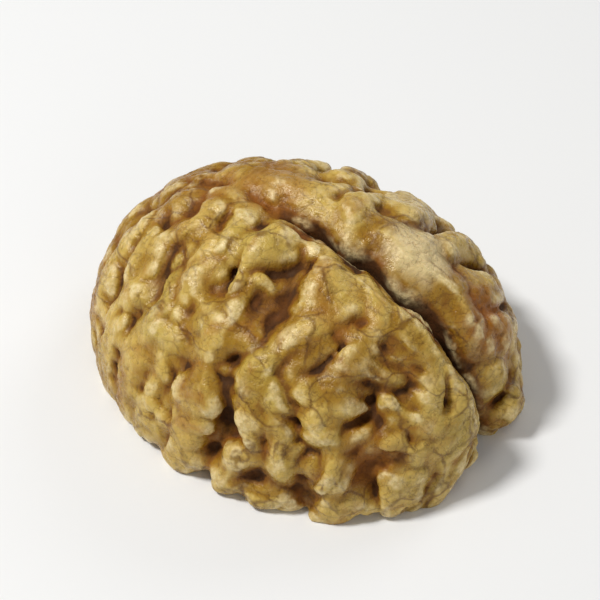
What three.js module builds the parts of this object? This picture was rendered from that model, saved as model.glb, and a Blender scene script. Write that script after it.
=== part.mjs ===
// Half a walnut kernel, as it comes out of a cracked shell: one piece, lying on its rim with the
// outer, wrinkled face up. Millimetres, +Z up. The tip points to -X and the cleft base to +X, and
// the two lobes lie to -Y and +Y. The origin is on the resting plane, under the middle.
import * as THREE from "three";

// Driving dimensions.
const kernelLength = 33;
const kernelWidth = 27.4;
const kernelHeight = 14.6;
const gridStep = 0.88; // spacing of the lattice that the surface is drawn from

// The envelope that the crests of the folds touch.
const halfLength = kernelLength / 2;
const halfWidth = kernelWidth / 2;
const rimHeight = 1.7; // middle of the rim above the resting plane
const domeHeight = kernelHeight - rimHeight;
const baseBroadening = 0.09; // how much wider than the tip end the base end is

// The ribs: each leaves the spine as a trunk and forks into two branches on the way to the rim.
const ribsPerLobe = 9;
const rib = {
  radius: 1.32,
  forkRadius: 1.12,
  startReach: 0.62, // how far along the spine the outermost ribs start
  endReach: 0.97, // and how far along the rim they end
  startAngle: 7, // degrees from the crown
  forkAngle: 38,
  forkSpread: 0.052, // of each branch from the line of the trunk
  single: 0.22, // the share of ribs that don't fork
  trunkBeads: 5,
  branchBeads: 8,
  beading: 0.17, // how much the beads swell and shrink by turns
};

// The short folds in the gaps between the ribs, in rows from the tip to the base.
const islet = {
  radius: 0.85,
  sunk: 0.95, // below the crests of the ribs
  rows: 5,
  perRow: 12,
  reach: 0.86, // of a row, towards the tip and the base
  highest: 18, // degrees from the crown, where the rows start
  lowest: 82,
};

// The other folds of the outer face.
const rimRadius = 1.4;
const rimInset = 2.0;
const spineRadius = 1.3;
const spineOffset = 1.6; // from the midline
const furrowDepth = 1.8; // from the crests down to the core
const wallDepth = 3.7; // from the crests down to the roof of a hollow, where that is thinnest
const creaseRound = 0.2; // how softly two folds meet
const wrinkleDepth = 0.45;
const knobDepth = 0.18;
const shellRound = 1.25; // how gently the crests flatten against the shell
const coreFloor = 1.3; // underside of the core above the resting plane
const restDepth = 0.45; // flattened off the lowest crests, where the kernel rests
const sway = { across: 0.75, up: 0.3, length: 13 }; // the slow wander of all folds
const ripple = { across: 0.32, up: 0.2, length: 5 }; // and the quick one
const seed = 1957;

// Where the face is calm: a place and its reach.
const calmSpots = [
  { x: -2.5, y: 2.6, z: 13.8, reach: 3.4 },
  { x: 7, y: 3.6, z: 12.4, reach: 3.2 },
];

// The inner face: a hollow under each lobe, and the cleft between the lobes.
const cleftRound = 1.0;
const lip = { depth: 1.1, width: 2.1, fade: 6 }; // how the lobes roll down into the cleft
const hollow = { x: 0.6, y: 7, z: 0, length: 25, width: 9.6, height: 24 };
const cleft = { start: -1.5, end: halfLength, narrow: 0.4, wide: 0.66, flare: 0.8, wave: 0.17 };

// Seeded numbers and waves.
function randomFrom(start) {
  let state = start;
  return () => {
    state = (state * 16807) % 2147483647;
    return state / 2147483647;
  };
}

const random = randomFrom(seed);
const jitter = (amount) => (random() * 2 - 1) * amount;

// A bundle of crossed sine waves: smooth, and never repeating within the kernel.
function waves(count, wavelength) {
  return Array.from({ length: count }, () => {
    const tilt = Math.acos(random() * 2 - 1);
    const turn = random() * 2 * Math.PI;
    const rate = (2 * Math.PI) / (wavelength * (0.75 + 0.6 * random()));
    return {
      x: Math.sin(tilt) * Math.cos(turn) * rate,
      y: Math.sin(tilt) * Math.sin(turn) * rate,
      z: Math.cos(tilt) * rate,
      phase: random() * 2 * Math.PI,
      share: 1 / Math.sqrt(count),
    };
  });
}

function sample(bundle, x, y, z) {
  let sum = 0;
  for (const w of bundle)
    sum += w.share * Math.sin(w.x * x + w.y * y + w.z * z + w.phase);
  return sum;
}

// A point of the outer face: u runs from -1 at the tip to 1 at the base, and the angle from 0 at
// the crown to 90 degrees at the rim.
function domePoint(side, u, angle, inset) {
  const along = (u * Math.PI) / 2;
  const radius = Math.cos(along) ** 0.9;
  const broad = 1 + baseBroadening * Math.sin(along);
  return new THREE.Vector3(
    (halfLength - inset) * Math.sin(along),
    side * (halfWidth - inset) * radius * broad * Math.sin(angle),
    rimHeight + (domeHeight - inset) * radius * Math.cos(angle),
  );
}

function ellipsoid(x, y, z, rx, ry, rz) {
  const near = Math.hypot(x / rx, y / ry, z / rz);
  const steep = Math.hypot(x / rx ** 2, y / ry ** 2, z / rz ** 2);
  return steep < 1e-9 ? -Math.min(rx, ry, rz) : (near * (near - 1)) / steep;
}

// The folds, each a chain of round beads.
const degrees = THREE.MathUtils.degToRad;

function beadsAlong(count, last, beadAt) {
  return Array.from({ length: count + 1 }, (_, k) => {
    const swell = (count - k) % 2 === 0 ? last : -last;
    return beadAt(k / count, swell);
  });
}

function ribFolds(side) {
  const folds = [];
  for (let i = 0; i < ribsPerLobe; i++) {
    const place = (2 * (i + 0.5)) / ribsPerLobe - 1;
    const start = place * rib.startReach + jitter(0.03);
    const end = place * rib.endReach + jitter(0.035);
    const middle = (start + end) / 2;
    const fork = degrees(rib.forkAngle + jitter(8));
    const spread = (rib.forkSpread + jitter(0.01)) * (1 - 0.25 * Math.abs(end));
    const bend = jitter(0.05);
    folds.push(
      beadsAlong(rib.trunkBeads, rib.beading / 2, (t, swell) => {
        const angle = THREE.MathUtils.lerp(degrees(rib.startAngle), fork, t);
        const u = THREE.MathUtils.lerp(start, middle, t) + bend * Math.sin(t * Math.PI);
        const r = rib.radius * (1 + swell + jitter(0.16));
        return { p: domePoint(side, u, angle, rib.radius), r };
      }),
    );
    const ways = random() < rib.single ? [0] : [-1, 1];
    for (const way of ways) {
      const radius = way ? rib.forkRadius : rib.radius;
      folds.push(
        beadsAlong(rib.branchBeads, rib.beading, (t, swell) => {
          const angle = THREE.MathUtils.lerp(fork - 0.08, degrees(90), t);
          const u = THREE.MathUtils.lerp(middle, end, t) + way * spread * Math.sqrt(t);
          const r = radius * (1 + 0.1 * t + swell + jitter(0.13));
          return { p: domePoint(side, u, angle, rib.forkRadius), r };
        }),
      );
    }
  }
  return folds;
}

function isletFolds(side) {
  const folds = [];
  const inset = islet.radius + islet.sunk;
  for (let row = 0; row < islet.rows; row++)
    for (let i = 0; i < islet.perRow; i++) {
      const along = (i + 0.5 + (row % 2 ? 0.25 : -0.25)) / islet.perRow;
      const u = (2 * along - 1) * islet.reach + jitter(0.03);
      const down = (row + 0.5) / islet.rows;
      const angle = degrees(THREE.MathUtils.lerp(islet.highest, islet.lowest, down) + jitter(4));
      const turn = jitter(Math.PI / 2);
      const ends = [-1, 1].map((way) => ({
        p: domePoint(side, u + way * 0.03 * Math.cos(turn), angle + way * 0.07 * Math.sin(turn), inset),
        r: islet.radius * (1 + jitter(0.15)),
      }));
      folds.push(ends);
    }
  return folds;
}

function spineFold(side) {
  const fold = [];
  const steps = 16;
  for (let k = 0; k <= steps; k++) {
    const u = THREE.MathUtils.lerp(-0.82, 0.84, k / steps);
    const p = domePoint(side, u, 0, spineRadius + 0.7);
    p.y = side * (spineOffset + jitter(0.6));
    fold.push({ p, r: spineRadius * (1 + jitter(0.2)) });
  }
  return fold;
}

// The rim round the outside of a lobe, set back behind the ends of the ribs.
function rimFold(side) {
  const fold = [];
  const steps = 14;
  for (let k = 0; k <= steps; k++) {
    const u = THREE.MathUtils.lerp(-0.94, 0.94, k / steps);
    const p = domePoint(side, u, degrees(87), rimInset);
    fold.push({ p, r: rimRadius * (1 + jitter(0.08)) });
  }
  return fold;
}

// The rim along the cleft, on the inner face, out to the base end of the lobe.
function medialFold(side) {
  const path = [
    [-13.2, 1.6, 4.0, 2.0],
    [-10, 2.3, 3.2, 2.0],
    [-6, 2.2, 2.7, 1.7],
    [-2, 2.0, 2.7, 1.6],
    [2, 2.1, 2.6, 1.6],
    [6, 2.5, 2.5, 1.7],
    [9.5, 3.4, 2.4, 1.8],
    [12.4, 5.0, 2.4, 1.9],
  ];
  return path.map(([x, y, z, r]) => ({ p: new THREE.Vector3(x, side * y, z), r }));
}

// Low cross folds in the roof of a hollow.
function roofFolds(side) {
  return [-5.6, -0.8, 4.2].map((x) => {
    const slant = jitter(1);
    return [
      { p: new THREE.Vector3(x - slant, side * 2.8, 6.6), r: 0.9 },
      { p: new THREE.Vector3(x, side * 6.4, 10.2), r: 1.2 },
      { p: new THREE.Vector3(x + slant, side * 10.8, 6), r: 0.9 },
    ];
  });
}

// The broad, smooth plates: one beside the cleft and one at the crown.
function platesOf(side) {
  if (side < 0) return [];
  const paths = [
    [
      [0.18, 12, 2.1],
      [0.31, 16, 2.7],
      [0.46, 18, 2.8],
      [0.58, 21, 2.2],
    ],
    [
      [-0.3, 10, 2.0],
      [-0.18, 13, 2.4],
      [-0.04, 12, 1.9],
    ],
  ];
  return paths.map((path) =>
    path.map(([u, angle, r]) => ({ p: domePoint(side, u, degrees(angle), r), r })),
  );
}

function radicle() {
  return [
    { p: new THREE.Vector3(-12.5, 0, 4.4), r: 2.2 },
    { p: new THREE.Vector3(-15.0, 0.2, 3.4), r: 1.5 },
    { p: new THREE.Vector3(-16.2, 0.3, 3.0), r: 1.0 },
  ];
}

const folds = [radicle()];
for (const side of [-1, 1]) {
  folds.push(...ribFolds(side), ...isletFolds(side), spineFold(side), ...platesOf(side));
  folds.push(rimFold(side), medialFold(side), ...roofFolds(side));
}

const swayWaves = [0, 1, 2].map(() => waves(5, sway.length));
const rippleWaves = [0, 1, 2].map(() => waves(6, ripple.length));
const wrinkles = waves(8, 4.8);
const knobs = waves(9, 2.9);

const farAway = 7; // an islet has no say beyond this

function foldDistance(fold, x, y, z) {
  const first = fold[0].p;
  const away = Math.hypot(x - first.x, y - first.y, z - first.z);
  if (fold.length === 2 && away > farAway) return Infinity;
  let best = Infinity;
  for (let i = 0; i + 1 < fold.length; i++) {
    const a = fold[i];
    const b = fold[i + 1];
    const dx = b.p.x - a.p.x;
    const dy = b.p.y - a.p.y;
    const dz = b.p.z - a.p.z;
    const px = x - a.p.x;
    const py = y - a.p.y;
    const pz = z - a.p.z;
    const t = Math.min(
      1,
      Math.max(0, (px * dx + py * dy + pz * dz) / (dx * dx + dy * dy + dz * dz)),
    );
    const d = Math.hypot(px - t * dx, py - t * dy, pz - t * dz) - (a.r + t * (b.r - a.r));
    if (d < best) best = d;
  }
  return best;
}

function smoothMin(a, b, round) {
  const h = Math.max(round - Math.abs(a - b), 0) / round;
  return Math.min(a, b) - (h * h * round) / 4;
}

const smoothMax = (a, b, round) => -smoothMin(-a, -b, round);

function kernelField(px, py, pz) {
  const [x, y, z] = [px, py, pz].map((place, axis) => {
    const slow = axis < 2 ? sway.across : sway.up;
    const quick = axis < 2 ? ripple.across : ripple.up;
    const wander = slow * sample(swayWaves[axis], px, py, pz);
    return place + wander + quick * sample(rippleWaves[axis], px, py, pz);
  });

  // the core under the folds, with its floor and its two hollows
  const broad = 1 + (baseBroadening * x) / halfLength;
  let core = ellipsoid(
    x,
    y / broad,
    z - rimHeight,
    halfLength - furrowDepth,
    halfWidth - furrowDepth,
    domeHeight - furrowDepth,
  );
  core = smoothMax(core, coreFloor - z, 1);
  const cave = ellipsoid(
    x - hollow.x,
    Math.abs(y) - hollow.y,
    z - hollow.z,
    hollow.length / 2,
    hollow.width / 2,
    hollow.height / 2,
  );
  const wall = ellipsoid(
    x,
    y / broad,
    z - rimHeight,
    halfLength - wallDepth,
    halfWidth - wallDepth,
    domeHeight - wallDepth,
  );
  core = smoothMax(core, -smoothMax(cave, wall, 1), 1);

  // the folds laid over it
  let total = 0;
  for (const fold of folds) {
    const d = foldDistance(fold, x, y, z);
    if (d < 4) total += Math.exp(-d / creaseRound);
  }
  const laid = total > 0 ? -creaseRound * Math.log(total) : 4;
  let body = smoothMin(core, laid, 0.7);

  // rounded wrinkles with creases between them, except on the calm spots
  let lively = 1;
  for (const spot of calmSpots) {
    const gap = Math.hypot(px - spot.x, py - spot.y, pz - spot.z);
    lively *= 1 - Math.exp(-((gap / spot.reach) ** 4));
  }
  body -= lively * wrinkleDepth * (Math.abs(sample(wrinkles, x, y, z)) - 0.5);
  body += lively * knobDepth * sample(knobs, px, py, pz);

  // the cleft between the lobes, from the base to the middle, wider on the inner face
  const along = (px - cleft.start) / (cleft.end - cleft.start);
  const opening = THREE.MathUtils.lerp(cleft.narrow, cleft.wide, Math.max(0, along));
  const flare = 1 + cleft.flare * (1 - pz / kernelHeight);
  const middle = cleft.wave * Math.sin(px * 0.55 + 0.1 * pz);
  const apart = Math.abs(py - middle);
  const slot = smoothMax(apart - (opening * flare) / 2, cleft.start - px, 0.5);
  body = smoothMax(body, -slot, cleftRound);

  // crests pressed flat against the shell that it grew in, and rolled down at the cleft
  const shell = ellipsoid(
    px,
    py / (1 + (baseBroadening * px) / halfLength),
    pz - rimHeight,
    halfLength,
    halfWidth,
    domeHeight,
  );
  const nearCleft = THREE.MathUtils.smoothstep(px, cleft.start - lip.fade, cleft.start);
  const sunk = lip.depth * nearCleft * Math.max(0, 1 - (apart / lip.width) ** 2);
  return smoothMax(body, shell + sunk, shellRound);
}

// Values of the field on a lattice that has a plane on the midline.
function latticeOf(field, low, high, step) {
  const count = [0, 1, 2].map((k) => Math.ceil((high[k] - low[k]) / step) + 1);
  const index = (i, j, k) => (k * count[1] + j) * count[0] + i;
  const values = new Float32Array(count[0] * count[1] * count[2]);
  for (let k = 0; k < count[2]; k++)
    for (let j = 0; j < count[1]; j++)
      for (let i = 0; i < count[0]; i++)
        values[index(i, j, k)] = field(low[0] + i * step, low[1] + j * step, low[2] + k * step);
  return { count, index, values, low, step };
}

const fillValue = 0.05; // given to a lattice point that changes sides

// Fills what the outside can't reach, and empties what the body doesn't hold.
function keepOneBody(lattice) {
  const { count, values } = lattice;
  const strides = [1, count[0], count[0] * count[1]];
  const flood = (start, same) => {
    const seen = new Uint8Array(values.length);
    const stack = [start];
    seen[start] = 1;
    while (stack.length) {
      const at = stack.pop();
      const place = [
        at % count[0],
        Math.floor(at / count[0]) % count[1],
        Math.floor(at / strides[2]),
      ];
      for (let axis = 0; axis < 3; axis++)
        for (const way of [-1, 1]) {
          const next = place[axis] + way;
          const n = at + way * strides[axis];
          if (next < 0 || next >= count[axis] || seen[n] || !same(values[n])) continue;
          seen[n] = 1;
          stack.push(n);
        }
    }
    return seen;
  };
  let changed = false;
  const flip = (n, value) => {
    values[n] = value;
    changed = true;
  };
  const outside = flood(0, (v) => v >= 0);
  for (let n = 0; n < values.length; n++)
    if (values[n] >= 0 && !outside[n]) flip(n, -fillValue);
  let deepest = 0;
  for (let n = 0; n < values.length; n++) if (values[n] < values[deepest]) deepest = n;
  const inside = flood(deepest, (v) => v < 0);
  for (let n = 0; n < values.length; n++)
    if (values[n] < 0 && !inside[n]) flip(n, fillValue);
  return changed;
}

// Fills lattice points until no square or cube of the lattice is crossed by two sheets at once.
function untangle(lattice) {
  const { count, index, values } = lattice;
  const inside = (n) => values[n] < 0;
  let everChanged = false;
  let changed = true;
  while (changed) {
    changed = false;
    for (let k = 0; k + 1 < count[2]; k++)
      for (let j = 0; j + 1 < count[1]; j++)
        for (let i = 0; i + 1 < count[0]; i++) {
          const corner = (a, b, c) => index(i + a, j + b, k + c);
          const squares = [
            [corner(0, 0, 0), corner(1, 0, 0), corner(1, 1, 0), corner(0, 1, 0)],
            [corner(0, 0, 0), corner(1, 0, 0), corner(1, 0, 1), corner(0, 0, 1)],
            [corner(0, 0, 0), corner(0, 1, 0), corner(0, 1, 1), corner(0, 0, 1)],
          ];
          for (const [a, b, c, d] of squares) {
            const crossed =
              inside(a) === inside(c) && inside(b) === inside(d) && inside(a) !== inside(b);
            if (!crossed) continue;
            const out = inside(a) ? [b, d] : [a, c];
            values[values[out[0]] < values[out[1]] ? out[0] : out[1]] = -fillValue;
            changed = true;
          }
          for (const [a, b, c] of [
            [0, 0, 0],
            [1, 0, 0],
            [0, 1, 0],
            [1, 1, 0],
          ]) {
            const ends = [corner(a, b, c), corner(1 - a, 1 - b, 1 - c)];
            let same = 0;
            for (let n = 0; n < 8; n++)
              if (inside(corner(n & 1, (n >> 1) & 1, n >> 2)) === inside(ends[0])) same++;
            if (inside(ends[0]) !== inside(ends[1]) || same !== 2) continue;
            values[inside(ends[0]) ? corner(1 - a, b, c) : ends[0]] = -fillValue;
            changed = true;
          }
        }
    everChanged = everChanged || changed;
  }
  return everChanged;
}

function surfaceNet(lattice) {
  const { count, index, values, low, step } = lattice;
  const vertexOf = new Map();
  const positions = [];
  const edges = [
    [0, 1], [2, 3], [4, 5], [6, 7],
    [0, 2], [1, 3], [4, 6], [5, 7],
    [0, 4], [1, 5], [2, 6], [3, 7],
  ];
  for (let k = 0; k + 1 < count[2]; k++)
    for (let j = 0; j + 1 < count[1]; j++)
      for (let i = 0; i + 1 < count[0]; i++) {
        let hits = 0;
        const sum = [0, 0, 0];
        for (const [a, b] of edges) {
          const ca = [a & 1, (a >> 1) & 1, a >> 2];
          const cb = [b & 1, (b >> 1) & 1, b >> 2];
          const va = values[index(i + ca[0], j + ca[1], k + ca[2])];
          const vb = values[index(i + cb[0], j + cb[1], k + cb[2])];
          if (va < 0 === vb < 0) continue;
          const t = va / (va - vb);
          for (let axis = 0; axis < 3; axis++) sum[axis] += ca[axis] + t * (cb[axis] - ca[axis]);
          hits++;
        }
        if (!hits) continue;
        vertexOf.set(index(i, j, k), positions.length / 3);
        positions.push(
          low[0] + (i + sum[0] / hits) * step,
          low[1] + (j + sum[1] / hits) * step,
          low[2] + (k + sum[2] / hits) * step,
        );
      }
  const quads = [];
  const strides = [1, count[0], count[0] * count[1]];
  for (let k = 1; k + 1 < count[2]; k++)
    for (let j = 1; j + 1 < count[1]; j++)
      for (let i = 1; i + 1 < count[0]; i++) {
        const at = index(i, j, k);
        for (let axis = 0; axis < 3; axis++) {
          const ahead = at + strides[axis];
          if (values[at] < 0 === values[ahead] < 0) continue;
          const s = strides[(axis + 1) % 3];
          const t = strides[(axis + 2) % 3];
          const ring = [at - s - t, at - t, at, at - s].map((n) => vertexOf.get(n));
          quads.push(values[at] < 0 ? ring : ring.reverse());
        }
      }
  return { positions, quads };
}

// Slides the vertices towards their neighbours' middle and back onto the surface.
function relax(net, field, rounds) {
  const { positions, quads } = net;
  const total = positions.length / 3;
  const near = Array.from({ length: total }, () => new Set());
  for (const q of quads)
    for (let n = 0; n < 4; n++) {
      near[q[n]].add(q[(n + 1) % 4]);
      near[q[(n + 1) % 4]].add(q[n]);
    }
  const reach = 0.02;
  const longest = 0.35; // a vertex moves no further in a round
  for (let round = 0; round < rounds; round++) {
    const share = 0.5 * (1 - round / rounds);
    const moved = new Float64Array(positions.length);
    for (let v = 0; v < total; v++) {
      const mean = [0, 0, 0];
      for (const n of near[v])
        for (let axis = 0; axis < 3; axis++) mean[axis] += positions[3 * n + axis] / near[v].size;
      const p = mean.map((m, axis) => THREE.MathUtils.lerp(positions[3 * v + axis], m, share));
      const here = field(...p);
      const slope = [
        (field(p[0] + reach, p[1], p[2]) - here) / reach,
        (field(p[0], p[1] + reach, p[2]) - here) / reach,
        (field(p[0], p[1], p[2] + reach) - here) / reach,
      ];
      const steep = Math.max(0.3, slope[0] ** 2 + slope[1] ** 2 + slope[2] ** 2);
      const pull = THREE.MathUtils.clamp(here / steep, -longest, longest);
      for (let axis = 0; axis < 3; axis++) moved[3 * v + axis] = p[axis] - pull * slope[axis];
    }
    for (let n = 0; n < moved.length; n++) positions[n] = moved[n];
  }
}

function meshOf(net) {
  const { positions, quads } = net;
  const at = (v) => new THREE.Vector3().fromArray(positions, 3 * v);
  const faces = [];
  for (const [a, b, c, d] of quads) {
    const short = at(a).distanceTo(at(c)) <= at(b).distanceTo(at(d));
    faces.push(...(short ? [a, b, c, a, c, d] : [a, b, d, b, c, d]));
  }
  const geometry = new THREE.BufferGeometry();
  geometry.setAttribute("position", new THREE.Float32BufferAttribute(positions, 3));
  geometry.setIndex(faces);
  geometry.computeVertexNormals();
  return geometry;
}

// Stretches the geometry to the driving dimensions, with its base at zero.
function fitted(geometry) {
  geometry.computeBoundingBox();
  const { min, max } = geometry.boundingBox;
  geometry.translate(-(min.x + max.x) / 2, -(min.y + max.y) / 2, -min.z);
  geometry.scale(
    kernelLength / (max.x - min.x),
    kernelWidth / (max.y - min.y),
    kernelHeight / (max.z - min.z),
  );
  return geometry;
}

function kernelGeometry() {
  const margin = 4;
  const snap = (reach) => Math.ceil((reach + margin) / gridStep) * gridStep;
  const low = [-snap(halfLength), -snap(halfWidth), -snap(0)];
  const high = [snap(halfLength), snap(halfWidth), snap(kernelHeight)];
  const lattice = latticeOf(kernelField, low, high, gridStep);
  while (untangle(lattice) || keepOneBody(lattice)) {}
  const net = surfaceNet(lattice);
  relax(net, kernelField, 5);
  for (let n = 2; n < net.positions.length; n += 3)
    net.positions[n] = Math.max(0, net.positions[n] - restDepth);
  return fitted(meshOf(net));
}

const skin = new THREE.MeshStandardMaterial({
  color: 0xb98d4e,
  roughness: 0.5,
  metalness: 0,
});

const kernel = new THREE.Mesh(kernelGeometry(), skin);
kernel.name = "kernel";

const walnut = new THREE.Group();
walnut.add(kernel);

export default walnut;
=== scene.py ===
import math

import bpy
import numpy as np
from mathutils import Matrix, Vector


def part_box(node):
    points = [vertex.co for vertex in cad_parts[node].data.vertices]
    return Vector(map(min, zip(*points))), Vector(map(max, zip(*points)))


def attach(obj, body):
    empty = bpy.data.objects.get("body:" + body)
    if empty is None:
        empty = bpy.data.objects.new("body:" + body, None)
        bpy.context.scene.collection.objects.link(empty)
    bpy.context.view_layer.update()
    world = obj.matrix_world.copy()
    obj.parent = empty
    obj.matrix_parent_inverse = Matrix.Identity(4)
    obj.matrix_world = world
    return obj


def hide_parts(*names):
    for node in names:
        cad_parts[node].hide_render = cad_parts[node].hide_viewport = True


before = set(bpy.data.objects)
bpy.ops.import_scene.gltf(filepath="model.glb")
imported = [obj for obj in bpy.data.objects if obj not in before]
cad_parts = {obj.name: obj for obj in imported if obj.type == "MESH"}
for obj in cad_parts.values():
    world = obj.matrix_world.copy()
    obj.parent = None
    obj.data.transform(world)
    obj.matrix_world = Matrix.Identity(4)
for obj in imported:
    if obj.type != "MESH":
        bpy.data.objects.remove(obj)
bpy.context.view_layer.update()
print("frame loaded")

# The kernel's form, in millimetres and degrees, by the part's own rule of folds. A place along
# the kernel, u, runs from -1 at the tip to 1 at the base.
kernelForm = {
    "length": 33.0,
    "width": 27.4,
    "height": 14.6,
    "rimHeight": 1.7,
    "domeTaper": 0.9,
    "baseBroadening": 0.09,
    "ribsPerLobe": 9,
    "ribRadius": 1.32,
    "forkRadius": 1.12,
    "ribStartReach": 0.62,
    "ribEndReach": 0.97,
    "ribStartAngle": 7,
    "ribForkAngle": 38,
    "ribForkSpread": 0.052,
    "ribSingle": 0.22,
    "trunkBeads": 5,
    "branchBeads": 8,
    "beading": 0.17,
    "ribLoose": {
        "start": 0.03,
        "end": 0.035,
        "fork": 8,
        "spread": 0.01,
        "bend": 0.05,
        "trunk": 0.16,
        "branch": 0.13,
    },
    "isletRadius": 0.85,
    "isletSunk": 0.95,
    "isletRows": 5,
    "isletsPerRow": 12,
    "isletReach": 0.86,
    "isletHighest": 18,
    "isletLowest": 82,
    "isletStagger": 0.25,
    "isletHalfLength": 0.03,
    "isletHalfArc": 0.07,
    "isletLoose": {"place": 0.03, "angle": 4, "radius": 0.15},
    "rimRadius": 1.4,
    "rimInset": 2.0,
    "rimReach": 0.94,
    "rimAngle": 87,
    "rimLoose": 0.08,
    "spineRadius": 1.3,
    "spineOffset": 1.6,
    "spineSunk": 0.7,
    "spineReach": (-0.82, 0.84),
    "spineLoose": {"aside": 0.6, "radius": 0.2},
    "wallDepth": 3.7,
    "foldBlend": 0.7,
    "bending": [(0.75, 0.32), (0.75, 0.32), (0.3, 0.2)],
    "swaySize": 13,
    "rippleSize": 5,
    "wrinkleSize": 4.8,
    "wrinkleDepth": 0.45,
    "knobSize": 2.9,
    "knobDepth": 0.18,
    "calmSpots": [(-2.5, 2.6, 13.8, 3.4), (7, 3.6, 12.4, 3.2)],
    "shellRound": 1.25,
    "coreFloor": 1.3,
    "coreRound": 1,
    "restDepth": 0.45,
    "seed": 1957,
    "hollow": {"x": 0.6, "y": 7, "z": 0, "length": 25, "width": 9.6, "height": 24},
    "cleftStart": -1.5,
    "cleftNarrow": 0.4,
    "cleftWide": 0.66,
    "cleftFlare": 0.8,
    "cleftWave": 0.17,
    "cleftRound": 1.0,
    "lipDepth": 1.1,
    "lipWidth": 2.1,
    "lipFade": 6,
    # what only the finer piece has: rounder creases, and shallower pits where the part's lattice
    # bridges them
    "creaseRound": 0.26,
    "furrowDepth": 1.45,
    "step": 0.225,
    "puckerSize": 2.1,
    "puckerDepth": 0.21,
    "cleftMeander": 0.22,
}


class Draws:
    # the same row of seeded numbers as the part's
    def __init__(self, seed):
        self.state = seed

    def next(self):
        self.state = (self.state * 16807) % 2147483647
        return self.state / 2147483647

    def jitter(self, amount):
        return (self.next() * 2 - 1) * amount

    def waves(self, count, wavelength):
        rows = []
        for _ in range(count):
            tilt = math.acos(self.next() * 2 - 1)
            turn = self.next() * 2 * math.pi
            rate = 2 * math.pi / (wavelength * (0.75 + 0.6 * self.next()))
            phase = self.next() * 2 * math.pi
            heading = (
                math.sin(tilt) * math.cos(turn),
                math.sin(tilt) * math.sin(turn),
                math.cos(tilt),
            )
            rows.append([rate * h for h in heading] + [phase])
        return np.array(rows)


def sampleWaves(bundle, points):
    total = np.zeros(len(points))
    for wave in bundle:
        total += np.sin(points @ wave[:3] + wave[3])
    return total / math.sqrt(len(bundle))


def domePoint(form, side, u, angle, inset):
    along = u * math.pi / 2
    radius = math.cos(along) ** form["domeTaper"]
    broad = 1 + form["baseBroadening"] * math.sin(along)
    dome = form["height"] - form["rimHeight"]
    return (
        (form["length"] / 2 - inset) * math.sin(along),
        side * (form["width"] / 2 - inset) * radius * broad * math.sin(angle),
        form["rimHeight"] + (dome - inset) * radius * math.cos(angle),
    )


def mixed(a, b, t):
    return a + (b - a) * t


def beadsAlong(count, swell, beadAt):
    # the beads swell and shrink by turns, and the last one is thick
    return [beadAt(k / count, swell if (count - k) % 2 == 0 else -swell) for k in range(count + 1)]


def ribFolds(form, draws, side):
    # each rib starts at the spine, and most of them fork on their way down to the rim
    folds = []
    count = form["ribsPerLobe"]
    loose = form["ribLoose"]
    for i in range(count):
        place = 2 * (i + 0.5) / count - 1
        start = place * form["ribStartReach"] + draws.jitter(loose["start"])
        end = place * form["ribEndReach"] + draws.jitter(loose["end"])
        middle = (start + end) / 2
        fork = math.radians(form["ribForkAngle"] + draws.jitter(loose["fork"]))
        spread = form["ribForkSpread"] + draws.jitter(loose["spread"])
        spread = spread * (1 - 0.25 * abs(end))
        bend = draws.jitter(loose["bend"])

        def trunkBead(t, swell):
            angle = mixed(math.radians(form["ribStartAngle"]), fork, t)
            u = mixed(start, middle, t) + bend * math.sin(t * math.pi)
            r = form["ribRadius"] * (1 + swell + draws.jitter(loose["trunk"]))
            return (*domePoint(form, side, u, angle, form["ribRadius"]), r)

        def branchBead(t, swell):
            angle = mixed(fork - 0.08, math.pi / 2, t)
            u = mixed(middle, end, t) + way * spread * math.sqrt(t)
            r = radius * (1 + 0.1 * t + swell + draws.jitter(loose["branch"]))
            return (*domePoint(form, side, u, angle, form["forkRadius"]), r)

        folds.append(beadsAlong(form["trunkBeads"], form["beading"] / 2, trunkBead))
        for way in [0] if draws.next() < form["ribSingle"] else [-1, 1]:
            radius = form["forkRadius"] if way else form["ribRadius"]
            folds.append(beadsAlong(form["branchBeads"], form["beading"], branchBead))
    return folds


def isletFolds(form, draws, side):
    # short folds, turned any way, that lie in the gaps between the ribs
    folds = []
    loose = form["isletLoose"]
    inset = form["isletRadius"] + form["isletSunk"]
    for row in range(form["isletRows"]):
        stagger = form["isletStagger"] if row % 2 else -form["isletStagger"]
        for i in range(form["isletsPerRow"]):
            along = (i + 0.5 + stagger) / form["isletsPerRow"]
            u = (2 * along - 1) * form["isletReach"] + draws.jitter(loose["place"])
            down = (row + 0.5) / form["isletRows"]
            angle = mixed(form["isletHighest"], form["isletLowest"], down)
            angle = math.radians(angle + draws.jitter(loose["angle"]))
            turn = draws.jitter(math.pi / 2)
            fold = []
            for way in (-1, 1):
                du = way * form["isletHalfLength"] * math.cos(turn)
                da = way * form["isletHalfArc"] * math.sin(turn)
                place = domePoint(form, side, u + du, angle + da, inset)
                r = form["isletRadius"] * (1 + draws.jitter(loose["radius"]))
                fold.append((*place, r))
            folds.append(fold)
    return folds


def spineFold(form, draws, side):
    fold = []
    steps = 16
    inset = form["spineRadius"] + form["spineSunk"]
    loose = form["spineLoose"]
    for k in range(steps + 1):
        u = mixed(*form["spineReach"], k / steps)
        x, _, z = domePoint(form, side, u, 0, inset)
        y = side * (form["spineOffset"] + draws.jitter(loose["aside"]))
        fold.append((x, y, z, form["spineRadius"] * (1 + draws.jitter(loose["radius"]))))
    return fold


def plateFolds(form, side):
    # smooth plates beside the cleft and on the crown, on one lobe: u, angle and radius
    if side < 0:
        return []
    paths = [
        [(0.18, 12, 2.1), (0.31, 16, 2.7), (0.46, 18, 2.8), (0.58, 21, 2.2)],
        [(-0.3, 10, 2.0), (-0.18, 13, 2.4), (-0.04, 12, 1.9)],
    ]
    return [
        [(*domePoint(form, side, u, math.radians(a), r), r) for u, a, r in path]
        for path in paths
    ]


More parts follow.
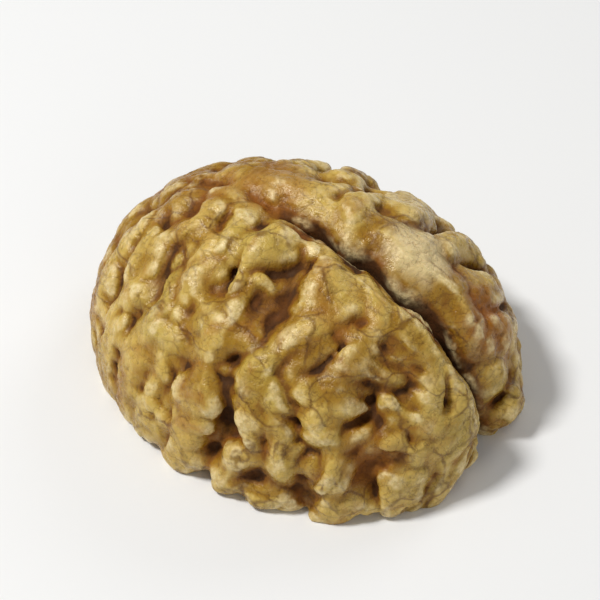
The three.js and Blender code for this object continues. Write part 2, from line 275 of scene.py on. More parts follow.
def rimFold(form, draws, side):
    fold = []
    steps = 14
    angle = math.radians(form["rimAngle"])
    for k in range(steps + 1):
        u = mixed(-form["rimReach"], form["rimReach"], k / steps)
        place = domePoint(form, side, u, angle, form["rimInset"])
        fold.append((*place, form["rimRadius"] * (1 + draws.jitter(form["rimLoose"]))))
    return fold


def medialFold(side):
    # the edge between a hollow and the cleft: x, distance from the middle, z and radius
    path = [
        (-13.2, 1.6, 4.0, 2.0),
        (-10, 2.3, 3.2, 2.0),
        (-6, 2.2, 2.7, 1.7),
        (-2, 2.0, 2.7, 1.6),
        (2, 2.1, 2.6, 1.6),
        (6, 2.5, 2.5, 1.7),
        (9.5, 3.4, 2.4, 1.8),
        (12.4, 5.0, 2.4, 1.9),
    ]
    return [(x, side * y, z, r) for x, y, z, r in path]


def roofFolds(draws, side):
    # low ribs across the roof of a hollow
    folds = []
    for x in (-5.6, -0.8, 4.2):
        slant = draws.jitter(1)
        folds.append(
            [
                (x - slant, side * 2.8, 6.6, 0.9),
                (x, side * 6.4, 10.2, 1.2),
                (x + slant, side * 10.8, 6, 0.9),
            ]
        )
    return folds


def layFolds(form, draws):
    # the pointed tip first, and then each lobe: x, y, z and radius
    radicle = [(-12.5, 0, 4.4, 2.2), (-15.0, 0.2, 3.4, 1.5), (-16.2, 0.3, 3.0, 1.0)]
    folds = [radicle]
    for side in (-1, 1):
        folds += ribFolds(form, draws, side)
        folds += isletFolds(form, draws, side)
        folds.append(spineFold(form, draws, side))
        folds += plateFolds(form, side)
        folds.append(rimFold(form, draws, side))
        folds.append(medialFold(side))
        folds += roofFolds(draws, side)
    return [np.array(fold, float) for fold in folds]


def smoothMin(a, b, width):
    h = np.maximum(width - np.abs(a - b), 0) / width
    return np.minimum(a, b) - h * h * width / 4


def smoothMax(a, b, width):
    return -smoothMin(-a, -b, width)


def ellipsoid(x, y, z, rx, ry, rz):
    near = np.sqrt((x / rx) ** 2 + (y / ry) ** 2 + (z / rz) ** 2)
    steep = np.sqrt((x / rx**2) ** 2 + (y / ry**2) ** 2 + (z / rz**2) ** 2)
    return near * (near - 1) / np.maximum(steep, 1e-9)


def foldDistance(fold, points):
    best = np.full(len(points), np.inf)
    for a, b in zip(fold[:-1], fold[1:]):
        span = b[:3] - a[:3]
        out = points - a[:3]
        t = np.clip(out @ span / (span @ span), 0, 1)
        gap = np.linalg.norm(out - t[:, None] * span, axis=1)
        best = np.minimum(best, gap - (a[3] + t * (b[3] - a[3])))
    return best


class KernelField:
    # negative inside the kernel, roughly in millimetres
    def __init__(self, form):
        draws = Draws(form["seed"])
        dome = form["height"] - form["rimHeight"]
        self.form = form
        self.half = np.array([form["length"] / 2, form["width"] / 2, dome])
        self.folds = layFolds(form, draws)
        self.sway = [draws.waves(5, form["swaySize"]) for _ in range(3)]
        self.ripple = [draws.waves(6, form["rippleSize"]) for _ in range(3)]
        self.wrinkles = draws.waves(8, form["wrinkleSize"])
        self.knobs = draws.waves(9, form["knobSize"])
        self.puckers = draws.waves(10, form["puckerSize"])

    def dome(self, points, inset=0):
        # the smooth outer face, or a face that much inside it
        x, y, z = points.T
        broad = 1 + self.form["baseBroadening"] * x / self.half[0]
        return ellipsoid(x, y / broad, z - self.form["rimHeight"], *(self.half - inset))

    def bent(self, points):
        # the points pushed about slowly and quickly, so that no fold runs straight
        moved = points.copy()
        for axis, (slow, quick) in enumerate(self.form["bending"]):
            moved[:, axis] += slow * sampleWaves(self.sway[axis], points)
            moved[:, axis] += quick * sampleWaves(self.ripple[axis], points)
        return moved

    def core(self, warped):
        # what lies under the folds, with its floor and its two hollows
        f = self.form
        x, y, z = warped.T
        core = self.dome(warped, f["furrowDepth"])
        core = smoothMax(core, f["coreFloor"] - z, f["coreRound"])
        h = f["hollow"]
        radii = [h["length"] / 2, h["width"] / 2, h["height"] / 2]
        cave = ellipsoid(x - h["x"], np.abs(y) - h["y"], z - h["z"], *radii)
        cave = smoothMax(cave, self.dome(warped, f["wallDepth"]), f["coreRound"])
        return smoothMax(core, -cave, f["coreRound"])

    def laidFolds(self, warped):
        # all folds, blended where they meet, and none felt from farther off than "far"
        far = 4
        faint = 1e-8
        reach = 2.2
        soft = self.form["creaseRound"]
        total = np.zeros(len(warped))
        for fold in self.folds:
            low = (fold[:, :3] - fold[:, 3:]).min(0) - reach
            high = (fold[:, :3] + fold[:, 3:]).max(0) + reach
            near = np.flatnonzero(((warped > low) & (warped < high)).all(1))
            if len(near):
                d = foldDistance(fold, warped[near])
                total[near] += np.exp(-np.minimum(d, far) / soft)
        return np.where(total > faint, -soft * np.log(np.maximum(total, faint)), far)

    def relief(self, points, warped):
        # wrinkles, knobs and puckers, except on the calm spots
        f = self.form
        lively = np.ones(len(points))
        for *spot, radius in f["calmSpots"]:
            gap = np.linalg.norm(points - np.array(spot), axis=1)
            lively *= 1 - np.exp(-((gap / radius) ** 4))
        relief = -f["wrinkleDepth"] * (np.abs(sampleWaves(self.wrinkles, warped)) - 0.5)
        relief += f["knobDepth"] * sampleWaves(self.knobs, points)
        relief -= f["puckerDepth"] * (np.abs(sampleWaves(self.puckers, warped)) - 0.6)
        return relief * lively

    def cleft(self, points):
        # the gap between the lobes, which meanders a little and is wider on the inner face
        f = self.form
        x, y, z = points.T
        along = np.maximum(0, (x - f["cleftStart"]) / (self.half[0] - f["cleftStart"]))
        opening = mixed(f["cleftNarrow"], f["cleftWide"], along)
        flare = 1 + f["cleftFlare"] * (1 - z / f["height"])
        middle = f["cleftWave"] * np.sin(x * 0.55 + 0.1 * z)
        middle += f["cleftMeander"] * np.sin(x * 1.35 + 0.4) * np.clip(along * 4, 0, 1)
        apart = np.abs(y - middle)
        slot = smoothMax(apart - opening * flare / 2, f["cleftStart"] - x, 0.5)
        return slot, apart

    def __call__(self, points):
        f = self.form
        warped = self.bent(points)
        body = smoothMin(self.core(warped), self.laidFolds(warped), f["foldBlend"])
        body += self.relief(points, warped)
        slot, apart = self.cleft(points)
        body = smoothMax(body, -slot, f["cleftRound"])

        # crests pressed flat against the outer face, and rolled down at the cleft
        t = np.clip((points[:, 0] - f["cleftStart"]) / f["lipFade"] + 1, 0, 1)
        sunk = f["lipDepth"] * t * t * (3 - 2 * t)
        sunk = sunk * np.maximum(0, 1 - (apart / f["lipWidth"]) ** 2)
        return smoothMax(body, self.dome(points) + sunk, f["shellRound"])


def finer(values, axis, factor):
    # the values between the lattice's own, along one axis
    count = values.shape[axis]
    places = np.arange((count - 1) * factor + 1) / factor
    first = np.minimum(places.astype(int), count - 2)
    share = (places - first).reshape([-1 if a == axis else 1 for a in range(3)])
    here = np.take(values, first, axis=axis)
    ahead = np.take(values, first + 1, axis=axis)
    return here * (1 - share) + ahead * share


def latticeOf(field, form):
    # a coarse lattice first, then the exact field only where the surface is near
    factor = 4
    nearSurface = 1.25
    margin = 3
    wide = form["step"] * factor
    sides = [math.ceil((form[name] / 2 + margin) / wide) for name in ("length", "width")]
    levels = math.ceil((form["height"] + 2 * margin) / wide) + 1
    low = np.array([-sides[0], -sides[1], -math.ceil(margin / wide)]) * wide
    counts = (2 * sides[0] + 1, 2 * sides[1] + 1, levels)
    grid = np.stack(np.meshgrid(*[np.arange(c) for c in counts], indexing="ij"), -1)
    values = field(low + grid.reshape(-1, 3) * wide).reshape(counts)
    for axis in range(3):
        values = finer(values, axis, factor)
    near = np.argwhere(np.abs(values) < nearSurface)
    values[tuple(near.T)] = field(low + near * form["step"])
    return values, low


def untangled(values):
    # fills lattice points until no square or cube is crossed by two sheets at once
    justInside = -0.05
    while True:
        inside = values < 0
        fills = []
        for axis in range(3):
            b, c = (axis + 1) % 3, (axis + 2) % 3
            steps = np.zeros((4, 3), int)
            steps[1, b] = steps[2, b] = steps[2, c] = steps[3, c] = 1
            cut = [n - (0 if a == axis else 1) for a, n in enumerate(values.shape)]
            held = [inside[tuple(slice(o, o + n) for o, n in zip(s, cut))] for s in steps]
            crossed = (held[0] == held[2]) & (held[1] == held[3]) & (held[0] != held[1])
            for at in np.argwhere(crossed):
                ring = [tuple(at + s) for s in steps]
                fills.append(min((p for p in ring if not inside[p]), key=lambda p: values[p]))
        cut = [n - 1 for n in values.shape]
        corners = [(a, b, c) for a in (0, 1) for b in (0, 1) for c in (0, 1)]
        held = [inside[tuple(slice(o, o + n) for o, n in zip(s, cut))] for s in corners]
        count = sum(h.astype(np.int8) for h in held)
        for k in range(4):
            pair = held[k] & held[7 - k] & (count == 2)
            hole = ~held[k] & ~held[7 - k] & (count == 6)
            for at in np.argwhere(pair):
                fills.append(tuple(at + corners[k] + np.array((1 - 2 * corners[k][0], 0, 0))))
            fills += [tuple(at + corners[k]) for at in np.argwhere(hole)]
        if not fills:
            return values
        for place in fills:
            values[place] = justInside


def surfaceNet(values, low, step):
    # one vertex for each cell that the surface crosses, one quad for each crossed lattice edge
    inside = values < 0
    cells = tuple(c - 1 for c in values.shape)
    corners = [(a, b, c) for c in (0, 1) for b in (0, 1) for a in (0, 1)]

    def cornerView(array, corner):
        return array[tuple(slice(o, o + n) for o, n in zip(corner, cells))]

    held = sum(cornerView(inside, corner).astype(np.int8) for corner in corners)
    active = np.argwhere((held > 0) & (held < 8))
    places = np.zeros((len(active), 3))
    hits = np.zeros(len(active))
    for n, first in enumerate(corners):
        for axis in range(3):
            if first[axis]:
                continue
            second = tuple(o + (1 if a == axis else 0) for a, o in enumerate(first))
            va = values[tuple((active + first).T)]
            vb = values[tuple((active + second).T)]
            crossed = (va < 0) != (vb < 0)
            t = np.where(crossed, va / np.where(crossed, va - vb, 1), 0)
            place = np.array(first, float) + t[:, None] * np.eye(3)[axis]
            places += np.where(crossed[:, None], place, 0)
            hits += crossed
    vertexOf = np.full(cells, -1)
    vertexOf[tuple(active.T)] = np.arange(len(active))
    vertices = low + (active + places / hits[:, None]) * step
    quads = []
    for axis in range(3):
        b, c = (axis + 1) % 3, (axis + 2) % 3
        ahead = [slice(None)] * 3
        ahead[axis] = slice(1, None)
        behind = [slice(None)] * 3
        behind[axis] = slice(0, -1)
        crossed = inside[tuple(behind)] != inside[tuple(ahead)]
        at = np.argwhere(crossed)
        unit = np.eye(3, dtype=int)
        ring = [at - unit[b] - unit[c], at - unit[c], at, at - unit[b]]
        faces = np.stack([vertexOf[tuple(r.T)] for r in ring], 1)
        flip = ~inside[tuple(at.T)]
        faces[flip] = faces[flip][:, ::-1]
        quads.append(faces)
    return vertices, np.concatenate(quads)


def largestPiece(vertices, quads):
    # drops crumbs that float free of the body
    label = np.arange(len(vertices))
    while True:
        least = label[quads].min(1)
        fresh = label.copy()
        for k in range(4):
            np.minimum.at(fresh, quads[:, k], least)
        fresh = fresh[fresh]
        if (fresh == label).all():
            break
        label = fresh
    keep = label == np.bincount(label).argmax()
    index = np.cumsum(keep) - 1
    return vertices[keep], index[quads[keep[quads[:, 0]]]]


def relaxed(vertices, quads, field, rounds):
    # towards the neighbours' middle, and back onto the surface
    probe = 0.02
    leastSlope = 0.3
    longestPull = 0.12
    pairs = np.concatenate([quads[:, [k, (k + 1) % 4]] for k in range(4)])
    pairs = np.unique(np.concatenate([pairs, pairs[:, ::-1]]), axis=0)
    first, second = pairs.T
    total = len(vertices)
    count = np.bincount(first, minlength=total)
    for _ in range(rounds):
        mean = [np.bincount(first, vertices[second, a], total) / count for a in range(3)]
        vertices = (vertices + np.stack(mean, 1)) / 2
        here = field(vertices)
        slope = [(field(vertices + probe * axis) - here) / probe for axis in np.eye(3)]
        slope = np.stack(slope, 1)
        steep = np.maximum(leastSlope, (slope**2).sum(1))
        pull = np.clip(here / steep, -longestPull, longestPull)
        vertices = vertices - pull[:, None] * slope
    return vertices


def fittedToPart(vertices):
    # stretched to the part's own box, in metres
    boxLow, boxHigh = (np.array(corner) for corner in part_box("kernel"))
    spread = vertices.max(0) - vertices.min(0)
    return boxLow + (vertices - vertices.min(0)) / spread * (boxHigh - boxLow)


def meshOf(vertices, quads):
    mesh = bpy.data.meshes.new("kernel_form")
    mesh.vertices.add(len(vertices))
    mesh.vertices.foreach_set("co", vertices.astype(np.float32).ravel())
    mesh.loops.add(quads.size)
    mesh.loops.foreach_set("vertex_index", quads.astype(np.int32).ravel())
    mesh.polygons.add(len(quads))
    mesh.polygons.foreach_set("loop_start", np.arange(0, quads.size, 4, dtype=np.int32))
    mesh.update(calc_edges=True)
    mesh.validate()
    mesh.shade_smooth()
    return mesh


def kernelMesh(form):
    field = KernelField(form)
    values, low = latticeOf(field, form)
    vertices, quads = surfaceNet(untangled(values), low, form["step"])
    vertices, quads = largestPiece(vertices, quads)
    vertices = relaxed(vertices, quads, field, 2)
    buried = -field.dome(vertices)
    vertices[:, 2] = np.maximum(0, vertices[:, 2] - form["restDepth"])
    mesh = meshOf(fittedToPart(vertices), quads)

    # how deep each point lies under the smooth outer face
    depth = mesh.attributes.new("buried", "FLOAT", "POINT")
    depth.data.foreach_set("value", buried.astype(np.float32))
    return mesh


# Relief of the skin, in millimetres, laid over the form by Geometry Nodes.
skinRelief = {
    "Vein Spacing": 3.4,
    "Vein Height": 0.05,
    "Wrinkle Size": 0.9,
    "Wrinkle Depth": 0.075,
    "Grain Size": 0.45,
    "Grain Depth": 0.035,
    "Seed": 11.0,
}


class Tree:
    # short ways to add and join the nodes of one tree
    def __init__(self, tree):
        self.tree = tree
        self.column = 0

    def add(self, kind, **settings):
        node = self.tree.nodes.new(kind)
        node.location = (self.column * 40, -(self.column % 7) * 160)
        self.column += 1
        for key, value in settings.items():
            setattr(node, key, value)
        return node

    def join(self, source, target):
        self.tree.links.new(source, target)

    def fill(self, target, value):
        if isinstance(value, bpy.types.NodeSocket):
            self.join(value, target)
        else:
            target.default_value = value

    def math(self, operation, a, b=0.0, c=0.0):
        node = self.add("ShaderNodeMath", operation=operation)
        for target, value in zip(node.inputs, (a, b, c)):
            self.fill(target, value)
        return node.outputs[0]

    def vector(self, operation, a, b=(0, 0, 0)):
        node = self.add("ShaderNodeVectorMath", operation=operation)
        self.fill(node.inputs[0], a)
        if operation == "SCALE":
            self.fill(node.inputs["Scale"], b)
        else:
            self.fill(node.inputs[1], b)
        return node.outputs["Value" if operation in ("DOT_PRODUCT", "LENGTH") else "Vector"]

    def ranged(self, value, fromLow, fromHigh, toLow=0.0, toHigh=1.0):
        node = self.add("ShaderNodeMapRange", interpolation_type="SMOOTHSTEP")
        for name, v in (
            ("Value", value),
            ("From Min", fromLow),
            ("From Max", fromHigh),
            ("To Min", toLow),
            ("To Max", toHigh),
        ):
            self.fill(node.inputs[name], v)
        return node.outputs["Result"]

    def noise(self, place, scale, detail=2.0, rough=0.5, w=0.0, distortion=0.0, colour=False):
        node = self.add("ShaderNodeTexNoise", noise_dimensions="4D")
        for name, v in (
            ("Vector", place),
            ("Scale", scale),
            ("Detail", detail),
            ("Roughness", rough),
            ("W", w),
            ("Distortion", distortion),
        ):
            self.fill(node.inputs[name], v)
        return node.outputs["Color" if colour else "Fac"]


def veinEdge(t, millimetres, spacing, seed):
    # how far a point lies from the edges of drawn-out, bent cells, and where veins show at all
    bent = t.noise(millimetres, 0.35, 2.0, 0.5, seed, colour=True)
    bend = t.vector("SCALE", t.vector("SUBTRACT", bent, (0.5, 0.5, 0.5)), 3.2)
    swept = t.vector("MULTIPLY", t.vector("ADD", millimetres, bend), (0.55, 1.0, 1.0))
    cells = t.add("ShaderNodeTexVoronoi", feature="DISTANCE_TO_EDGE")
    t.join(swept, cells.inputs["Vector"])
    t.fill(cells.inputs["Scale"], t.math("DIVIDE", 1.0, spacing))
    broken = t.ranged(t.noise(millimetres, 0.3, 1.0, 0.5, seed), 0.36, 0.56)
    return t.math("MULTIPLY", cells.outputs["Distance"], spacing), broken


def creaseDistance(t, millimetres, size, seed):
    # grows away from the lines along which the skin is wrinkled
    rate = t.math("DIVIDE", 1.0, size)
    folded = t.noise(millimetres, rate, 2.0, 0.55, t.math("ADD", seed, 3.0))
    return t.math("ABSOLUTE", t.math("SUBTRACT", folded, 0.5))


def reliefTree(inputs, finish):
    tree = bpy.data.node_groups.new("skin_relief", "GeometryNodeTree")
    face = tree.interface
    face.new_socket("Geometry", in_out="INPUT", socket_type="NodeSocketGeometry")
    for name in inputs:
        face.new_socket(name, in_out="INPUT", socket_type="NodeSocketFloat")
    face.new_socket("Geometry", in_out="OUTPUT", socket_type="NodeSocketGeometry")
    t = Tree(tree)
    given = t.add("NodeGroupInput").outputs
    place = t.add("GeometryNodeInputPosition").outputs[0]
    normal = t.add("GeometryNodeInputNormal").outputs[0]
    millimetres = t.vector("SCALE", place, 1000.0)

    # how far a point stands out of its surroundings, near and wide
    rises = {}
    for name, rounds in (("rise", 10), ("swell", 70)):
        blur = t.add("GeometryNodeBlurAttribute", data_type="FLOAT_VECTOR")
        t.join(place, [s for s in blur.inputs if s.type == "VECTOR"][0])
        blur.inputs["Iterations"].default_value = rounds
        smooth = [s for s in blur.outputs if s.type == "VECTOR"][0]
        out = t.vector("SUBTRACT", place, smooth)
        rises[name] = t.math("MULTIPLY", t.vector("DOT_PRODUCT", out, normal), 1000.0)

    # low veins
    edge, broken = veinEdge(t, millimetres, given["Vein Spacing"], given["Seed"])
    vein = t.math("MULTIPLY", t.ranged(edge, 0.04, 0.3, 1.0, 0.0), broken)

    # fine papery wrinkles, with sharp furrows, and a grain
    crease = creaseDistance(t, millimetres, given["Wrinkle Size"], given["Seed"])
    wrinkle = t.ranged(crease, 0.0, 0.05, -1.0, 0.2)
    rate = t.math("DIVIDE", 1.0, given["Grain Size"])
    grain = t.noise(millimetres, rate, 2.0, 0.5, t.math("ADD", given["Seed"], 7.0))
    grain = t.math("SUBTRACT", grain, 0.5)

    lift = t.math("MULTIPLY", vein, given["Vein Height"])
    lift = t.math("MULTIPLY_ADD", wrinkle, given["Wrinkle Depth"], lift)
    lift = t.math("MULTIPLY_ADD", grain, t.math("MULTIPLY", given["Grain Depth"], 2.0), lift)
    # nothing sinks below the resting plane
    height = t.add("ShaderNodeSeparateXYZ")
    t.join(millimetres, height.inputs[0])
    lift = t.math("MULTIPLY", lift, t.ranged(height.outputs["Z"], 0.0, 0.5))

    offset = t.vector("SCALE", normal, t.math("MULTIPLY", lift, 0.001))
    moved = t.add("GeometryNodeSetPosition")
    geometry = given["Geometry"]
    for name, value in rises.items():
        keep = t.add("GeometryNodeStoreNamedAttribute", data_type="FLOAT", domain="POINT")
        t.join(geometry, keep.inputs["Geometry"])
        keep.inputs["Name"].default_value = name
        t.join(value, keep.inputs["Value"])
        geometry = keep.outputs["Geometry"]
    t.join(geometry, moved.inputs["Geometry"])
    t.join(offset, moved.inputs["Offset"])
    whole = t.add("GeometryNodeRealizeInstances")
    t.join(moved.outputs["Geometry"], whole.inputs["Geometry"])
    dress = t.add("GeometryNodeSetMaterial")
    dress.inputs["Material"].default_value = finish
    t.join(whole.outputs["Geometry"], dress.inputs["Geometry"])
    t.join(dress.outputs["Geometry"], t.add("NodeGroupOutput").inputs["Geometry"])
    return tree


def withRelief(obj, tree, inputs):
    modifier = obj.modifiers.new("relief", "NODES")
    modifier.node_group = tree
    for item in tree.interface.items_tree:
        if item.item_type == "SOCKET" and item.in_out == "INPUT" and item.name in inputs:
            modifier[item.identifier] = inputs[item.name]
    view = bpy.context.evaluated_depsgraph_get()
    plain = bpy.data.meshes.new_from_object(obj.evaluated_get(view), depsgraph=view)
    obj.modifiers.remove(modifier)
    rough = obj.data
    obj.data = plain
    bpy.data.meshes.remove(rough)
    plain.name = "kernel_skin"


# Tones of the skin (sRGB, 0 to 255).
skinColours = {
    # the furrow and flank tones are partly the skin's deeper brown and partly painted shade
    "furrow": (66, 32, 0),
    "flank": (122, 76, 6),
    "body": (157, 117, 34),
    "crest": (199, 167, 83),
    "amber": (146, 82, 12),
    "straw": (180, 155, 70),
    "vein": (90, 46, 10),
    # pale: the rubbed crests, and painted highlights
    "worn_and_highlight": (226, 204, 150),
    "inner": (176, 136, 72),
}

# How the tones lie on the skin. Rates are per millimetre, and the spacings of the drawn veins are
# shares of the relief's.
skinPattern = {
    # from the dark furrows to the pale crests, partly painted shade
    "ramp": [(0.0, "furrow"), (0.24, "flank"), (0.5, "body"), (0.86, "crest")],
    "riseGain": 2.3,
    "swellGain": 0.5,
    "middleLevel": 0.49,
    # painted shade deep in the furrows
    "pitShade": 0.2,
    # painted shade on the walls of the cleft
    "cleftShade": 0.5,
    "mottle": {"rate": 0.9, "amount": 0.3},
    "broad": {"rate": 0.15, "amount": 0.16},
    "streak": {"along": 2.6, "across": 0.5, "amount": 0.44},
    "innerShare": 0.45,
    "veins": [
        {"spacing": 1.0, "width": 0.16, "strength": 0.62},
        {"spacing": 0.42, "width": 0.1, "strength": 0.34},
    ],
    "creaseWidth": 0.022,
    "creaseStrength": 0.36,
    # pale spots on the crests: worn, and partly painted highlights
    "wearAndHighlightRate": 0.42,
    "wearAndHighlightShare": (0.42, 0.85),
    "roughness": (0.24, 0.38),
    "furrowRoughness": 0.5,
    "grainRate": 4.5,
    "grainHeight": 0.00015,
}

# Patches some millimetres across, without a place of their own: a noise (rate, roughness, w and
# bend), the range in which it fades in, and the strength.
skinPatches = [
    {"tone": "amber", "noise": (0.13, 0.55, 5.0, 0.6), "fade": (0.52, 0.72), "strength": 0.55},
    {"tone": "straw", "noise": (0.17, 0.5, 9.0, 0.4), "fade": (0.5, 0.68), "strength": 0.5},
    {"tone": "amber", "noise": (0.5, 0.5, 12.0, 0.5), "fade": (0.54, 0.7), "strength": 0.4},
]

# Spots that have a place of their own: where, how far they reach, and how strong they are.
skinSpots = {
    # the smooth plate beside the cleft: its own paler skin, with a painted highlight
    "pale_plate_and_highlight": {"tone": "worn_and_highlight", "at": (7.6, 3.2, 12.4), "reach": 3.0, "strength": 0.8},
    "speckle": {"tone": "worn_and_highlight", "at": (4.0, 7.6, 11.6), "reach": 2.6, "strength": 0.6},
    "stain": {"tone": "amber", "at": (13.0, 3.6, 8.4), "reach": 3.4, "strength": 0.75},
    "crown": {"tone": "amber", "at": (-3.4, 1.8, 14.0), "reach": 3.4, "strength": 0.5},
}


def linear(rgb):
    def one(v):
        v /= 255
        return v / 12.92 if v <= 0.04045 else ((v + 0.055) / 1.055) ** 2.4

    return (*[one(v) for v in rgb], 1.0)


def blended(t, share, a, b, kind="MIX"):
    node = t.add("ShaderNodeMix", data_type="RGBA", blend_type=kind)
    t.fill(node.inputs["Factor"], share)
    colours = [s for s in node.inputs if s.type == "RGBA"]
    t.fill(colours[0], a)
    t.fill(colours[1], b)
    return [s for s in node.outputs if s.type == "RGBA"][0]


class SkinPoint:
    # what the material knows of a point: its place in millimetres and how it lies on the form
    def __init__(self, t):
        self.rise, self.swell, self.buried = (
            t.add("ShaderNodeAttribute", attribute_name=name).outputs["Fac"]
            for name in ("rise", "swell", "buried")
        )
        place = t.add("ShaderNodeTexCoord").outputs["Object"]
        self.millimetres = t.vector("SCALE", place, 1000.0)
        split = t.add("ShaderNodeSeparateXYZ")
        t.join(self.millimetres, split.inputs[0])
        self.lengthwise = split.outputs["X"]
        self.aside = t.math("ABSOLUTE", split.outputs["Y"])


def skinLevel(t, point, pattern):
    # from 0 in the brown furrows, over the flanks, to 1 on the pale crests: darker where the form
    # sinks and paler where it stands out, partly the skin's own tone and partly painted shade
    level = t.math("MULTIPLY_ADD", point.rise, pattern["riseGain"], pattern["middleLevel"])
    level = t.math("MULTIPLY_ADD", point.swell, pattern["swellGain"], level)
    # painted shade, with some of the skin's deeper brown: darker where the skin lies deep under
    # the outer face, though not on the inner face
    outside = t.ranged(point.buried, 2.8, 4.0, 1.0, 0.0)
    pitShadeMask = t.math("MULTIPLY", t.ranged(point.buried, 0.5, 2.4), outside)
    level = t.math("MULTIPLY_ADD", pitShadeMask, -pattern["pitShade"], level)

    # painted shade: the walls of the cleft are darkened, all the way down
    cleftWallShadeMask = t.ranged(point.aside, 0.7, 1.5, 1.0, 0.0)
    cleftWallShadeMask = t.math("MULTIPLY", cleftWallShadeMask, t.ranged(point.buried, 0.9, 1.8))
    cleftWallShadeMask = t.math("MULTIPLY", cleftWallShadeMask, t.ranged(point.lengthwise, -2.6, -1.0))
    level = t.math("MULTIPLY_ADD", cleftWallShadeMask, -pattern["cleftShade"], level)

    # mottled, lighter and darker over some millimetres, and streaked across the length
    mottle, broad, streak = pattern["mottle"], pattern["broad"], pattern["streak"]
    noise = t.noise(point.millimetres, mottle["rate"], 3.0, 0.55, 2.0)
    noise = t.math("MULTIPLY_ADD", noise, mottle["amount"], -mottle["amount"] / 2)
    level = t.math("ADD", level, noise)
    noise = t.noise(point.millimetres, broad["rate"], 1.0, 0.5, 33.0)
    noise = t.ranged(noise, 0.36, 0.64, -broad["amount"], broad["amount"])
    level = t.math("ADD", level, noise)
    stretch = (streak["along"], streak["across"], streak["across"])
    noise = t.noise(t.vector("MULTIPLY", point.millimetres, stretch), 1.0, 3.0, 0.55, 3.0)
    noise = t.math("MULTIPLY_ADD", noise, streak["amount"], -streak["amount"] / 2)
    return t.math("ADD", level, noise)


def toneAt(t, level, tones, stops):
    ramp = t.add("ShaderNodeValToRGB")
    ramp.color_ramp.interpolation = "EASE"
    points = ramp.color_ramp.elements
    while len(points) < len(stops):
        points.new(0.5)
    for point, (position, tone) in zip(points, stops):
        point.position = position
        point.color = tones[tone]
    t.join(level, ramp.inputs["Fac"])
    return ramp.outputs["Color"]


def withPatches(t, point, level, colour, tones, patches):
    for patch in patches:
        rate, rough, w, bend = patch["noise"]
        noise = t.noise(point.millimetres, rate, 2.0, rough, w, bend)
        share = t.ranged(noise, *patch["fade"], 0.0, patch["strength"])
        if patch["tone"] == "straw":
            share = t.math("MULTIPLY", share, t.ranged(level, 0.2, 0.55))  # not in the furrows
        colour = blended(t, share, colour, tones[patch["tone"]])
    return colour


def withSpots(t, point, colour, tones, spots):
    ragged = 2.4  # how far the edges run in and out, in millimetres
    for spot in spots.values():
        reach = spot["reach"]
        away = t.vector("LENGTH", t.vector("SUBTRACT", point.millimetres, spot["at"]))
        noise = t.noise(point.millimetres, 0.7, 3.0, 0.6, reach)
        away = t.math("MULTIPLY_ADD", noise, ragged, away)
        full, gone = reach / 2 + ragged / 2, reach + ragged / 2
        share = t.ranged(away, full, gone, spot["strength"], 0.0)
        colour = blended(t, share, colour, tones[spot["tone"]])
    return colour


def withVeins(t, point, colour, tones, pattern, relief):
    # thin veins, on and between those of the relief, and the lines of the wrinkles
    for row in pattern["veins"]:
        spacing = relief["Vein Spacing"] * row["spacing"]
        edge, broken = veinEdge(t, point.millimetres, spacing, relief["Seed"])
        vein = t.math("MULTIPLY", t.ranged(edge, 0.0, row["width"], row["strength"], 0.0), broken)
        colour = blended(t, vein, colour, tones["vein"])
    crease = creaseDistance(t, point.millimetres, relief["Wrinkle Size"], relief["Seed"])
    line = t.ranged(crease, 0.0, pattern["creaseWidth"], pattern["creaseStrength"], 0.0)
    return blended(t, line, colour, tones["flank"], "MULTIPLY")


def withWearAndHighlights(t, point, colour, tones, pattern):
    # worn pale spots on the crests, partly painted highlights on the knob tops, and a fine speckle
    # everywhere
    rubAndHighlight = t.noise(point.millimetres, pattern["wearAndHighlightRate"], 3.0, 0.6, 14.0)
    rubAndHighlight = t.math("MULTIPLY", t.ranged(rubAndHighlight, 0.44, 0.58), t.ranged(point.rise, 0.02, 0.09))
    speck = t.noise(point.millimetres, 3.2, 2.0, 0.6, 21.0)
    rubAndHighlight = t.math("MULTIPLY", rubAndHighlight, t.ranged(speck, 0.36, 0.6, *pattern["wearAndHighlightShare"]))
    colour = blended(t, rubAndHighlight, colour, tones["worn_and_highlight"])
    tint = t.add("ShaderNodeHueSaturation")
    t.join(t.ranged(speck, 0.3, 0.7, 0.93, 1.06), tint.inputs["Value"])
    t.join(colour, tint.inputs["Color"])
    return tint.outputs["Color"]


def skinShader(t, point, level, colour, pattern):
    # waxy on the crests and dull in the furrows, with a fine grain
    gloss = t.noise(point.millimetres, 1.4, 2.0, 0.5, 30.0)
    gloss = t.ranged(gloss, 0.35, 0.65, *pattern["roughness"])
    dull = t.ranged(level, 0.1, 0.45, pattern["furrowRoughness"], 0.0)
    bump = t.add("ShaderNodeBump")
    bump.inputs["Strength"].default_value = 0.5
    bump.inputs["Distance"].default_value = pattern["grainHeight"]
    grain = t.noise(point.millimetres, pattern["grainRate"], 3.0, 0.6, 40.0)
    t.join(grain, bump.inputs["Height"])

    shader = t.add("ShaderNodeBsdfPrincipled")
    t.join(colour, shader.inputs["Base Color"])
    t.join(t.math("ADD", gloss, dull), shader.inputs["Roughness"])
    t.join(bump.outputs["Normal"], shader.inputs["Normal"])
    shader.inputs["Specular IOR Level"].default_value = 0.46
    shader.inputs["Specular Tint"].default_value = (1.0, 0.9, 0.7, 1.0)
    shader.inputs["Subsurface Weight"].default_value = 0.08
    shader.inputs["Subsurface Radius"].default_value = (1.0, 0.55, 0.25)
    shader.inputs["Subsurface Scale"].default_value = 0.0009
    return shader.outputs["BSDF"]


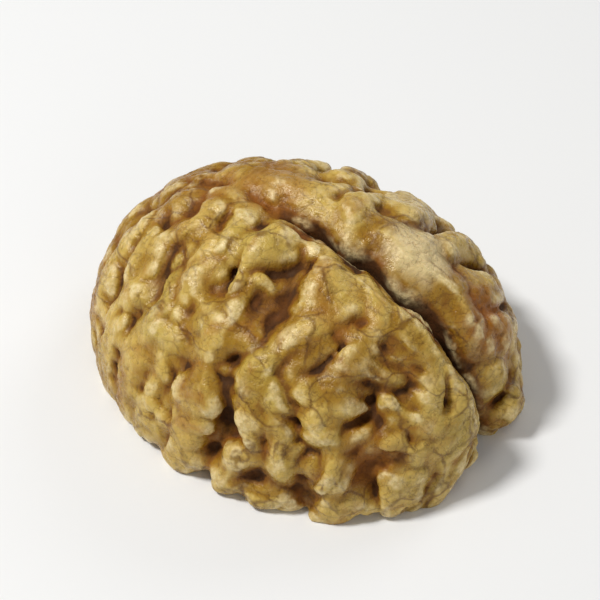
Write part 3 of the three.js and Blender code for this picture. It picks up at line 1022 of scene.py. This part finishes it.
def walnutSkin(colours, pattern, patches, spots, relief):
    material = bpy.data.materials.new("walnut_skin")
    material.use_nodes = True
    tree = material.node_tree
    tree.nodes.clear()
    t = Tree(tree)
    tones = {name: linear(rgb) for name, rgb in colours.items()}
    point = SkinPoint(t)
    level = skinLevel(t, point, pattern)
    colour = toneAt(t, level, tones, pattern["ramp"])
    colour = withPatches(t, point, level, colour, tones, patches)

    # the inner face is a little paler
    inner = t.ranged(point.aside, 1.4, 2.4, 0.0, pattern["innerShare"])
    inner = t.math("MULTIPLY", t.ranged(point.buried, 2.8, 5.0), inner)
    colour = blended(t, inner, colour, tones["inner"])
    colour = withSpots(t, point, colour, tones, spots)
    colour = withVeins(t, point, colour, tones, pattern, relief)
    colour = withWearAndHighlights(t, point, colour, tones, pattern)
    output = t.add("ShaderNodeOutputMaterial")
    t.join(skinShader(t, point, level, colour, pattern), output.inputs["Surface"])
    return material


finish = walnutSkin(skinColours, skinPattern, skinPatches, skinSpots, skinRelief)
kernel = bpy.data.objects.new("kernel_skin", kernelMesh(kernelForm))
bpy.context.scene.collection.objects.link(kernel)
print("kernel form:", len(kernel.data.polygons), "quads")
withRelief(kernel, reliefTree(skinRelief, finish), skinRelief)
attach(kernel, "root")
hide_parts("kernel")
print("skin laid over the kernel")

# The studio: a pale floor, soft light and the camera, in metres, watts and degrees.
studio = {
    "floorSize": 3.0,
    "floorTone": (0.84, 0.84, 0.83, 1),
    "worldTone": (1.0, 1.0, 1.0, 1),
    "worldStrength": 0.27,
    "lampAim": (0, 0, 0.006),
    "lamps": {
        "key": {"place": (-0.14, -0.12, 0.31), "size": 0.08, "watts": 1.05},
        "fill": {"place": (0.34, -0.16, 0.16), "size": 0.24, "watts": 0.16},
        "back": {"place": (0.05, 0.34, 0.24), "size": 0.2, "watts": 0.3},
    },
    "azimuth": 35,
    "elevation": 44,
    "distance": 0.118,
    "lens": 100,
    "nearest": 0.01,
    "aim": (0, 0, 0.0062),
}


def placed(name, data, place, aim):
    # a lamp or a camera that looks from its place at a point
    obj = bpy.data.objects.new(name, data)
    bpy.context.scene.collection.objects.link(obj)
    obj.location = place
    obj.rotation_euler = (Vector(aim) - Vector(place)).to_track_quat("-Z", "Y").to_euler()
    return obj


def buildStudio(s):
    bpy.ops.mesh.primitive_plane_add(size=s["floorSize"])
    floor = bpy.context.object
    floor.name = "floor"
    paint = bpy.data.materials.new("floor_paper")
    paint.use_nodes = True
    shader = paint.node_tree.nodes["Principled BSDF"]
    shader.inputs["Base Color"].default_value = s["floorTone"]
    shader.inputs["Roughness"].default_value = 0.8
    floor.data.materials.append(paint)

    world = bpy.data.worlds.new("studio")
    world.use_nodes = True
    sky = world.node_tree.nodes["Background"]
    sky.inputs["Color"].default_value = s["worldTone"]
    sky.inputs["Strength"].default_value = s["worldStrength"]
    bpy.context.scene.world = world

    for name, row in s["lamps"].items():
        light = bpy.data.lights.new(name, "AREA")
        light.shape = "DISK"
        light.size = row["size"]
        light.energy = row["watts"]
        placed(name, light, row["place"], s["lampAim"])

    turn = math.radians(s["azimuth"])
    tip = math.radians(s["elevation"])
    flat = math.cos(tip)
    back = Vector((math.sin(turn) * flat, -math.cos(turn) * flat, math.sin(tip)))
    camera = bpy.data.cameras.new("camera")
    camera.lens = s["lens"]
    camera.clip_start = s["nearest"]
    place = Vector(s["aim"]) + back * s["distance"]
    bpy.context.scene.camera = placed("camera", camera, place, s["aim"])
    bpy.context.scene.view_settings.view_transform = "Standard"


buildStudio(studio)
print("studio set")
